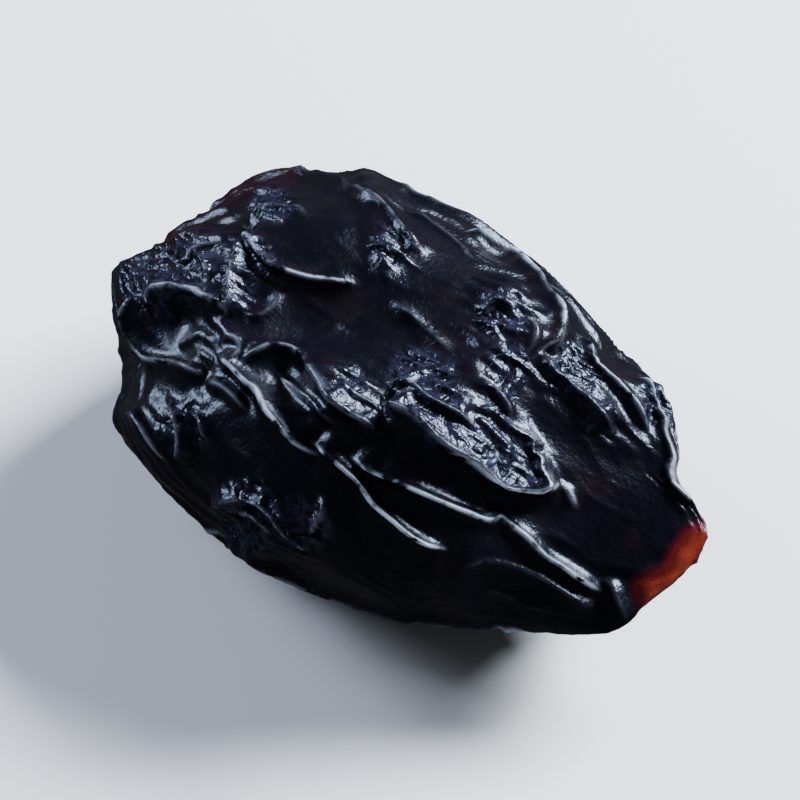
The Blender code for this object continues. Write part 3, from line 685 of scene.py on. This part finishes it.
def makePrune():
    prune, directions = roundBall("pruneSkin", pruneForm["levels"])
    points, crestHighlight = shapedPoints(prune, directions)
    normals = setPoints(prune, points)
    print("prune shaped:", len(points), "points")
    crinkled = spotted(points, normals, crinkledPatches)
    tables = neighbourTables(prune.data)
    points = driedPoints(prune, points, normals, tables, crinkled)
    for _ in range(4):
        points = fitOutline(points, pruneForm["skinStretchFrom"])
    normals = setPoints(prune, points)
    markSkin(prune, points, normals, tables[0], crinkled, crestHighlight)

    # laid on the floor, inside the solid's box
    floorLevel = points[:, 2].min() + pruneForm["flatDepth"]
    points = pressFlat(points)
    low, high = np.array(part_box("prune")[0]) / mm, np.array(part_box("prune")[1]) / mm
    middle = (points.min(0) + points.max(0)) / 2
    points = points - [middle[0], middle[1], 0.0]
    share = np.minimum((high - low) / (points.max(0) - points.min(0)), 1.0)
    setPoints(prune, points * share)
    bpy.context.view_layer.objects.active = prune
    prune.select_set(True)
    bpy.ops.object.shade_smooth()
    bpy.ops.object.select_all(action="DESELECT")
    return prune, -np.array([middle[0], middle[1], floorLevel]) * share * mm


class Socket:
    # one shader socket, with operators that add Math nodes
    def __init__(self, tree, link):
        self.tree, self.link = tree, link

    def node(self, kind, settings=None, out=0, **sockets):
        # a socket is given by its name, or by i and its number
        made = self.tree.nodes.new(kind)
        for name, value in (settings or {}).items():
            setattr(made, name, value)
        for name, value in sockets.items():
            key = int(name[1:]) if name[0] == "i" and name[1:].isdigit() else name
            socket = made.inputs[key]
            if isinstance(value, Socket):
                self.tree.links.new(value.link, socket)
            else:
                socket.default_value = value
        return Socket(self.tree, made.outputs[out])

    def maths(self, operation, *values):
        return self.node("ShaderNodeMath", {"operation": operation},
                         **{"i%d" % i: v for i, v in enumerate(values)})

    def __add__(self, other):
        return self.maths("ADD", self, other)

    def __radd__(self, other):
        return self.maths("ADD", other, self)

    def __sub__(self, other):
        return self.maths("SUBTRACT", self, other)

    def __rsub__(self, other):
        return self.maths("SUBTRACT", other, self)

    def __mul__(self, other):
        return self.maths("MULTIPLY", self, other)

    def __rmul__(self, other):
        return self.maths("MULTIPLY", other, self)

    def ramp(self, low, high):
        return self.node("ShaderNodeMapRange", {"interpolation_type": "SMOOTHSTEP"},
                         i0=self, i1=low, i2=high, i3=0.0, i4=1.0)

    def mix(self, first, second):
        return self.node("ShaderNodeMix", {"data_type": "RGBA"}, out=2, i0=self, i6=first, i7=second)


def rgba(colour):
    return (*colour, 1.0)


def skinMaterial():
    look, lip = skinLook, lipLook
    material = bpy.data.materials.new("pruneSkinLook")
    material.use_nodes = True
    tree = material.node_tree
    shader = tree.nodes["Principled BSDF"]
    start = Socket(tree, tree.nodes.new("ShaderNodeTexCoord").outputs["Object"])
    place = start.node("ShaderNodeVectorMath", {"operation": "SCALE"}, i0=start, Scale=1 / mm)

    def grain(scale, detail=3.0, rough=0.55, shift=(0, 0, 0)):
        spot = start.node("ShaderNodeMapping", i0=place, i1=shift)
        return start.node("ShaderNodeTexNoise", {"noise_dimensions": "3D"}, i0=spot, Scale=scale,
                          Detail=detail, Roughness=rough)

    def measured(name):
        return start.node("ShaderNodeAttribute", {"attribute_name": name}, out=2)

    ridge, crinkle, lipZone = measured("ridge"), measured("crinkle"), measured("lip")
    thin, edge = measured("thin"), measured("crestHighlight")
    broad = grain(look["broadScale"], 2.0)
    patch = grain(look["patchScale"], 3.0, shift=(3, 9, 2))
    fine = grain(look["fineScale"], 3.0, 0.6)
    finer = grain(look["finerScale"], 3.0, 0.6, shift=(5, 1, 7))
    breaks = grain(look["breakScale"], 2.0, shift=(8, 2, 5))

    # dark skin first, then the painted sheen on crests, the light painted through the thin edge, the pale
    # bloom and the painted highlight lines, then the red lip over all
    base = broad.ramp(0.40, 0.62).mix(rgba(look["dark"]), rgba(look["plum"]))
    base = (patch.ramp(0.52, 0.75) * 0.8).mix(base, rgba(look["brown"]))
    # painted sheen: raised crests lighter and bluer
    base = (ridge.ramp(0.60, 0.95) * 0.6).mix(base, rgba(look["ridge"]))
    base = (thin * (0.55 + 0.6 * patch)).mix(base, rgba(look["thin"]))
    base = (crinkle * fine.ramp(0.38, 0.66)).mix(base, rgba(look["bloom"]))
    # painted highlight: pale lines along the crest tops, broken up by noise
    base = (edge * breaks.ramp(0.36, 0.54)).mix(base, rgba(look["edge"]))
    # the lip: its own red flesh, with light shining through the thin lip painted in as the brighter
    # orange
    glow = lipZone + 0.22 * (patch - 0.5) + 0.10 * (fine - 0.5)
    base = glow.ramp(0.05, 0.22).mix(base, rgba(lip["deep"]))
    base = glow.ramp(0.20, 0.50).mix(base, rgba(lip["red"]))
    base = glow.ramp(0.55, 0.95).mix(base, rgba(lip["orange"]))
    tree.links.new(base.link, shader.inputs["Base Color"])

    rough = look["roughness"] + 0.12 * (patch - 0.5) + 0.14 * (fine - 0.5) - 0.05 * ridge
    tree.links.new(rough.link, shader.inputs["Roughness"])

    wavy = start.node("ShaderNodeTexNoise", out=1, Vector=place, Scale=0.9)
    bent = start.node("ShaderNodeVectorMath", {"operation": "MULTIPLY_ADD"}, i0=wavy,
                      i1=(look["creaseBend"],) * 3, i2=place)
    creases = start.node("ShaderNodeTexVoronoi", {"feature": "DISTANCE_TO_EDGE"}, Vector=bent,
                         Scale=look["creaseScale"])
    height = (0.35 + 0.65 * crinkle) * fine + 0.30 * finer
    height = height + (0.04 + 0.30 * crinkle) * creases.ramp(0.0, 0.25)
    bump = start.node("ShaderNodeBump", i0=look["bumpStrength"], i1=look["bumpDepth"], Height=height)
    tree.links.new(bump.link, shader.inputs["Normal"])
    shader.inputs["Specular Tint"].default_value = rgba(look["sheenTint"])
    shader.inputs["IOR"].default_value = look["ior"]
    return material


def plainMaterial(name, colour, roughness):
    material = bpy.data.materials.new(name)
    material.use_nodes = True
    shader = material.node_tree.nodes["Principled BSDF"]
    shader.inputs["Base Color"].default_value = rgba(colour)
    shader.inputs["Roughness"].default_value = roughness
    return material


def makeFloor():
    bpy.ops.mesh.primitive_plane_add(size=studio["floorSize"], location=(0, 0, 0))
    floor = bpy.context.object
    floor.name = floor.data.name = "studioFloor"
    white = plainMaterial("floorWhite", studio["floorColour"], studio["floorRoughness"])
    floor.data.materials.append(white)
    floor.visible_glossy = False    # keeps the pale floor from greying the dark skin
    floor.select_set(False)
    return floor


def areaLamp(name, location, wide, tall, power, colour):
    bpy.ops.object.light_add(type="AREA", location=location)
    lamp = bpy.context.object
    lamp.name = name
    lamp.data.shape = "RECTANGLE"
    lamp.data.size, lamp.data.size_y = wide, tall
    lamp.data.energy = power
    lamp.data.color = colour
    lamp.select_set(False)
    return lamp


def softbox(name, turn, height, wide, tall, power, colour):
    _, _, way = turnAndHeight(pruneForm["seenTurn"] + turn, height)
    way = Vector(way)
    place = Vector(studio["lampAim"]) + way * studio["lampDistance"]
    lamp = areaLamp(name, place, wide, tall, power, colour)
    lamp.rotation_euler = (-way).to_track_quat("-Z", "Y").to_euler()


def floorGlow():
    # stands for the pale floor as the skin's right rim mirrors it; it lies on the floor and faces up
    turn = pruneForm["seenTurn"] + studio["glowTurn"]
    _, _, way = turnAndHeight(turn, 0)
    place = Vector(way) * studio["glowDistance"] + Vector((0, 0, studio["glowLift"]))
    lamp = areaLamp("floorGlow", place, *studio["glowSize"], studio["glowPower"], studio["glowColour"])
    lamp.rotation_euler = (math.pi, 0, -math.radians(turn))
    lamp.visible_camera = lamp.visible_diffuse = False


def makeStudio():
    for name, values in studio["softboxes"].items():
        softbox(name, *values)
    floorGlow()
    world = bpy.data.worlds.new("studioWorld")
    bpy.context.scene.world = world
    world.use_nodes = True
    background = world.node_tree.nodes["Background"]
    background.inputs["Color"].default_value = (1, 1, 1, 1)
    background.inputs["Strength"].default_value = studio["world"]


def makeCamera(aim):
    bpy.ops.object.camera_add()
    camera = bpy.context.object
    camera.name = "studioCamera"
    camera.data.lens = studio["lens"]
    camera.data.sensor_width = studio["sensor"]
    distance = studio["across"] * mm * studio["lens"] / studio["sensor"]
    camera.location = Vector(aim) + Vector(seenTowards) * distance
    camera.rotation_euler = (-Vector(seenTowards)).to_track_quat("-Z", "Y").to_euler()
    camera.data.clip_start = 0.01
    bpy.context.scene.camera = camera
    camera.select_set(False)


prune, middle = makePrune()
prune.data.materials.append(skinMaterial())
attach(prune, "root")
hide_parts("prune")
print("prune dressed")

makeCamera(middle)
makeFloor()
makeStudio()
print("studio ready")
